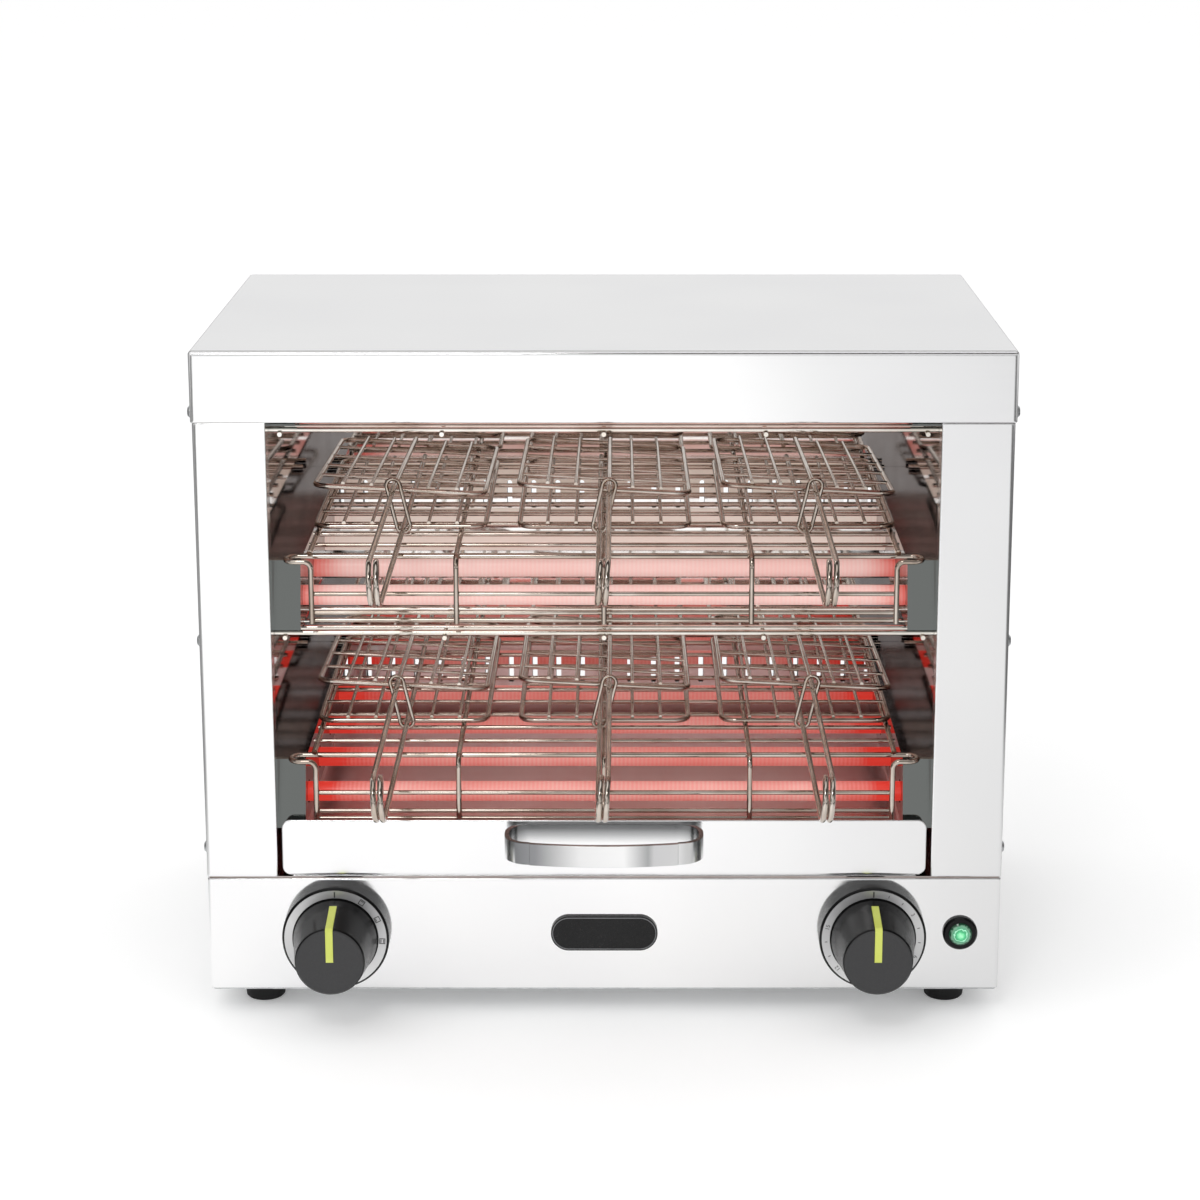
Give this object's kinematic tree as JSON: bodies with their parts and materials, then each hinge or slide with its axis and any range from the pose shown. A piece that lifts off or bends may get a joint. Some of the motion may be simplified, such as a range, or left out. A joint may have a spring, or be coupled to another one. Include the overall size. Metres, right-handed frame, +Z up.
{
  "type": "clamp toaster",
  "caption": "Open-front countertop toaster: polished steel casing, stacked rows of quartz heater tubes, wire racks with sliding spring tongs, crumb drawer, control knobs and a pilot lamp.",
  "frame": {"origin": "floor under the middle of the outer box, tongs' handles and cable gland included", "axes": "+X to the viewer's right, -Y out of the front towards the viewer, +Z up"},
  "size_m": [0.444, 0.3926, 0.375],
  "materials": {
    "stainless": "polished stainless sheet",
    "galvanised": "plain zinc-coated steel",
    "liner_steel": "bright chamber sheet",
    "cover_grey": "dark heat-tinted sheet",
    "quartz": "frosted quartz, lit by its winding",
    "glow_core": "glowing heating wire",
    "ceramic": null,
    "brass": "rolled strip",
    "chrome_wire": "bright plated wire",
    "handle_steel": "polished strip",
    "knob_grey": "satin moulding",
    "pointer_lime": "moulded insert",
    "black_plastic": "satin moulding",
    "dial_silver": "printed satin ring",
    "lens_green": "clear tinted lens",
    "foot_rubber": "moulded rubber",
    "lead_red": "silicone-covered lead"
  },
  "bodies": {
    "housing": {"top_cover": "stainless", "side_panel_left": "stainless", "side_panel_right": "stainless", "rear_panel": "stainless", "control_panel": "stainless", "bottom_plate": "galvanised", "chamber_floor": "galvanised", "screws": "galvanised", "chamber_rear": "liner_steel", "chamber_sides": "liner_steel", "ceiling_reflector": "liner_steel", "tube_covers": "cover_grey", "quartz_tubes": "quartz", "heater_cores": "glow_core", "tube_caps": "ceramic", "terminal_block": "ceramic", "bus_bars": "brass", "rack_lower": "chrome_wire", "rack_upper": "chrome_wire", "tube_guards": "chrome_wire", "knob_bezels": "black_plastic", "pilot_housing": "black_plastic", "name_plate": "black_plastic", "cable_gland": "black_plastic", "selector_switch": "black_plastic", "dial_rings": "dial_silver", "timer_unit": "dial_silver", "pilot_lens": "lens_green", "feet": "foot_rubber", "wiring": "lead_red"},
    "tray": {"crumb_tray": "stainless", "tray_handle": "handle_steel"},
    "selector": {"selector_knob": "knob_grey", "selector_pointer": "pointer_lime"},
    "timer": {"timer_knob": "knob_grey", "timer_pointer": "pointer_lime"},
    "tongs_1": {"tongs_1_lower": "chrome_wire", "tongs_1_coil": "chrome_wire"},
    "tongs_1_jaw": {"tongs_1_upper": "chrome_wire"},
    "tongs_1_lock": {"tongs_1_link": "chrome_wire"},
    "tongs_2": {"tongs_2_lower": "chrome_wire", "tongs_2_coil": "chrome_wire"},
    "tongs_2_jaw": {"tongs_2_upper": "chrome_wire"},
    "tongs_2_lock": {"tongs_2_link": "chrome_wire"},
    "tongs_3": {"tongs_3_lower": "chrome_wire", "tongs_3_coil": "chrome_wire"},
    "tongs_3_jaw": {"tongs_3_upper": "chrome_wire"},
    "tongs_3_lock": {"tongs_3_link": "chrome_wire"},
    "tongs_4": {"tongs_4_lower": "chrome_wire", "tongs_4_coil": "chrome_wire"},
    "tongs_4_jaw": {"tongs_4_upper": "chrome_wire"},
    "tongs_4_lock": {"tongs_4_link": "chrome_wire"},
    "tongs_5": {"tongs_5_lower": "chrome_wire", "tongs_5_coil": "chrome_wire"},
    "tongs_5_jaw": {"tongs_5_upper": "chrome_wire"},
    "tongs_5_lock": {"tongs_5_link": "chrome_wire"},
    "tongs_6": {"tongs_6_lower": "chrome_wire", "tongs_6_coil": "chrome_wire"},
    "tongs_6_jaw": {"tongs_6_upper": "chrome_wire"},
    "tongs_6_lock": {"tongs_6_link": "chrome_wire"}
  },
  "joints": [
    {"name": "tray_slide", "type": "slide", "parent": "housing", "child": "tray", "axis": [0, -1, 0], "range_m": [0, 0.2]},
    {"name": "selector_turn", "type": "hinge", "parent": "housing", "child": "selector", "pos_m": [-0.148, -0.078, 0.048], "axis": [0, 1, 0], "range_deg": [0, 105]},
    {"name": "timer_turn", "type": "hinge", "parent": "housing", "child": "timer", "pos_m": [0.148, -0.078, 0.048], "axis": [0, 1, 0], "range_deg": [0, 285]},
    {"name": "tongs_1_slide", "type": "slide", "parent": "housing", "child": "tongs_1", "axis": [0, -1, 0], "range_m": [0, 0.25]},
    {"name": "tongs_1_open", "type": "hinge", "parent": "tongs_1", "child": "tongs_1_jaw", "pos_m": [-0.114, -0.184, 0.27705], "axis": [1, 0, 0], "range_deg": [0, 3.5], "deforming": ["tongs_1_coil"]},
    {"name": "tongs_1_unlock", "type": "slide", "parent": "tongs_1", "child": "tongs_1_lock", "axis": [0, -1, 0], "range_m": [0, 0.13]},
    {"name": "tongs_2_slide", "type": "slide", "parent": "housing", "child": "tongs_2", "axis": [0, -1, 0], "range_m": [0, 0.25]},
    {"name": "tongs_2_open", "type": "hinge", "parent": "tongs_2", "child": "tongs_2_jaw", "pos_m": [0, -0.184, 0.27705], "axis": [1, 0, 0], "range_deg": [0, 3.5], "deforming": ["tongs_2_coil"]},
    {"name": "tongs_2_unlock", "type": "slide", "parent": "tongs_2", "child": "tongs_2_lock", "axis": [0, -1, 0], "range_m": [0, 0.13]},
    {"name": "tongs_3_slide", "type": "slide", "parent": "housing", "child": "tongs_3", "axis": [0, -1, 0], "range_m": [0, 0.25]},
    {"name": "tongs_3_open", "type": "hinge", "parent": "tongs_3", "child": "tongs_3_jaw", "pos_m": [0.114, -0.184, 0.27705], "axis": [1, 0, 0], "range_deg": [0, 3.5], "deforming": ["tongs_3_coil"]},
    {"name": "tongs_3_unlock", "type": "slide", "parent": "tongs_3", "child": "tongs_3_lock", "axis": [0, -1, 0], "range_m": [0, 0.13]},
    {"name": "tongs_4_slide", "type": "slide", "parent": "housing", "child": "tongs_4", "axis": [0, -1, 0], "range_m": [0, 0.25]},
    {"name": "tongs_4_open", "type": "hinge", "parent": "tongs_4", "child": "tongs_4_jaw", "pos_m": [-0.114, -0.184, 0.16355], "axis": [1, 0, 0], "range_deg": [0, 3.5], "deforming": ["tongs_4_coil"]},
    {"name": "tongs_4_unlock", "type": "slide", "parent": "tongs_4", "child": "tongs_4_lock", "axis": [0, -1, 0], "range_m": [0, 0.13]},
    {"name": "tongs_5_slide", "type": "slide", "parent": "housing", "child": "tongs_5", "axis": [0, -1, 0], "range_m": [0, 0.25]},
    {"name": "tongs_5_open", "type": "hinge", "parent": "tongs_5", "child": "tongs_5_jaw", "pos_m": [0, -0.184, 0.16355], "axis": [1, 0, 0], "range_deg": [0, 3.5], "deforming": ["tongs_5_coil"]},
    {"name": "tongs_5_unlock", "type": "slide", "parent": "tongs_5", "child": "tongs_5_lock", "axis": [0, -1, 0], "range_m": [0, 0.13]},
    {"name": "tongs_6_slide", "type": "slide", "parent": "housing", "child": "tongs_6", "axis": [0, -1, 0], "range_m": [0, 0.25]},
    {"name": "tongs_6_open", "type": "hinge", "parent": "tongs_6", "child": "tongs_6_jaw", "pos_m": [0.114, -0.184, 0.16355], "axis": [1, 0, 0], "range_deg": [0, 3.5], "deforming": ["tongs_6_coil"]},
    {"name": "tongs_6_unlock", "type": "slide", "parent": "tongs_6", "child": "tongs_6_lock", "axis": [0, -1, 0], "range_m": [0, 0.13]}
  ],
  "couplings": [
    {"joint": "tongs_1_unlock", "follows": "tongs_1_open", "m_per_rad": 2.12},
    {"joint": "tongs_2_unlock", "follows": "tongs_2_open", "m_per_rad": 2.12},
    {"joint": "tongs_3_unlock", "follows": "tongs_3_open", "m_per_rad": 2.12},
    {"joint": "tongs_4_unlock", "follows": "tongs_4_open", "m_per_rad": 2.12},
    {"joint": "tongs_5_unlock", "follows": "tongs_5_open", "m_per_rad": 2.12},
    {"joint": "tongs_6_unlock", "follows": "tongs_6_open", "m_per_rad": 2.12}
  ]
}
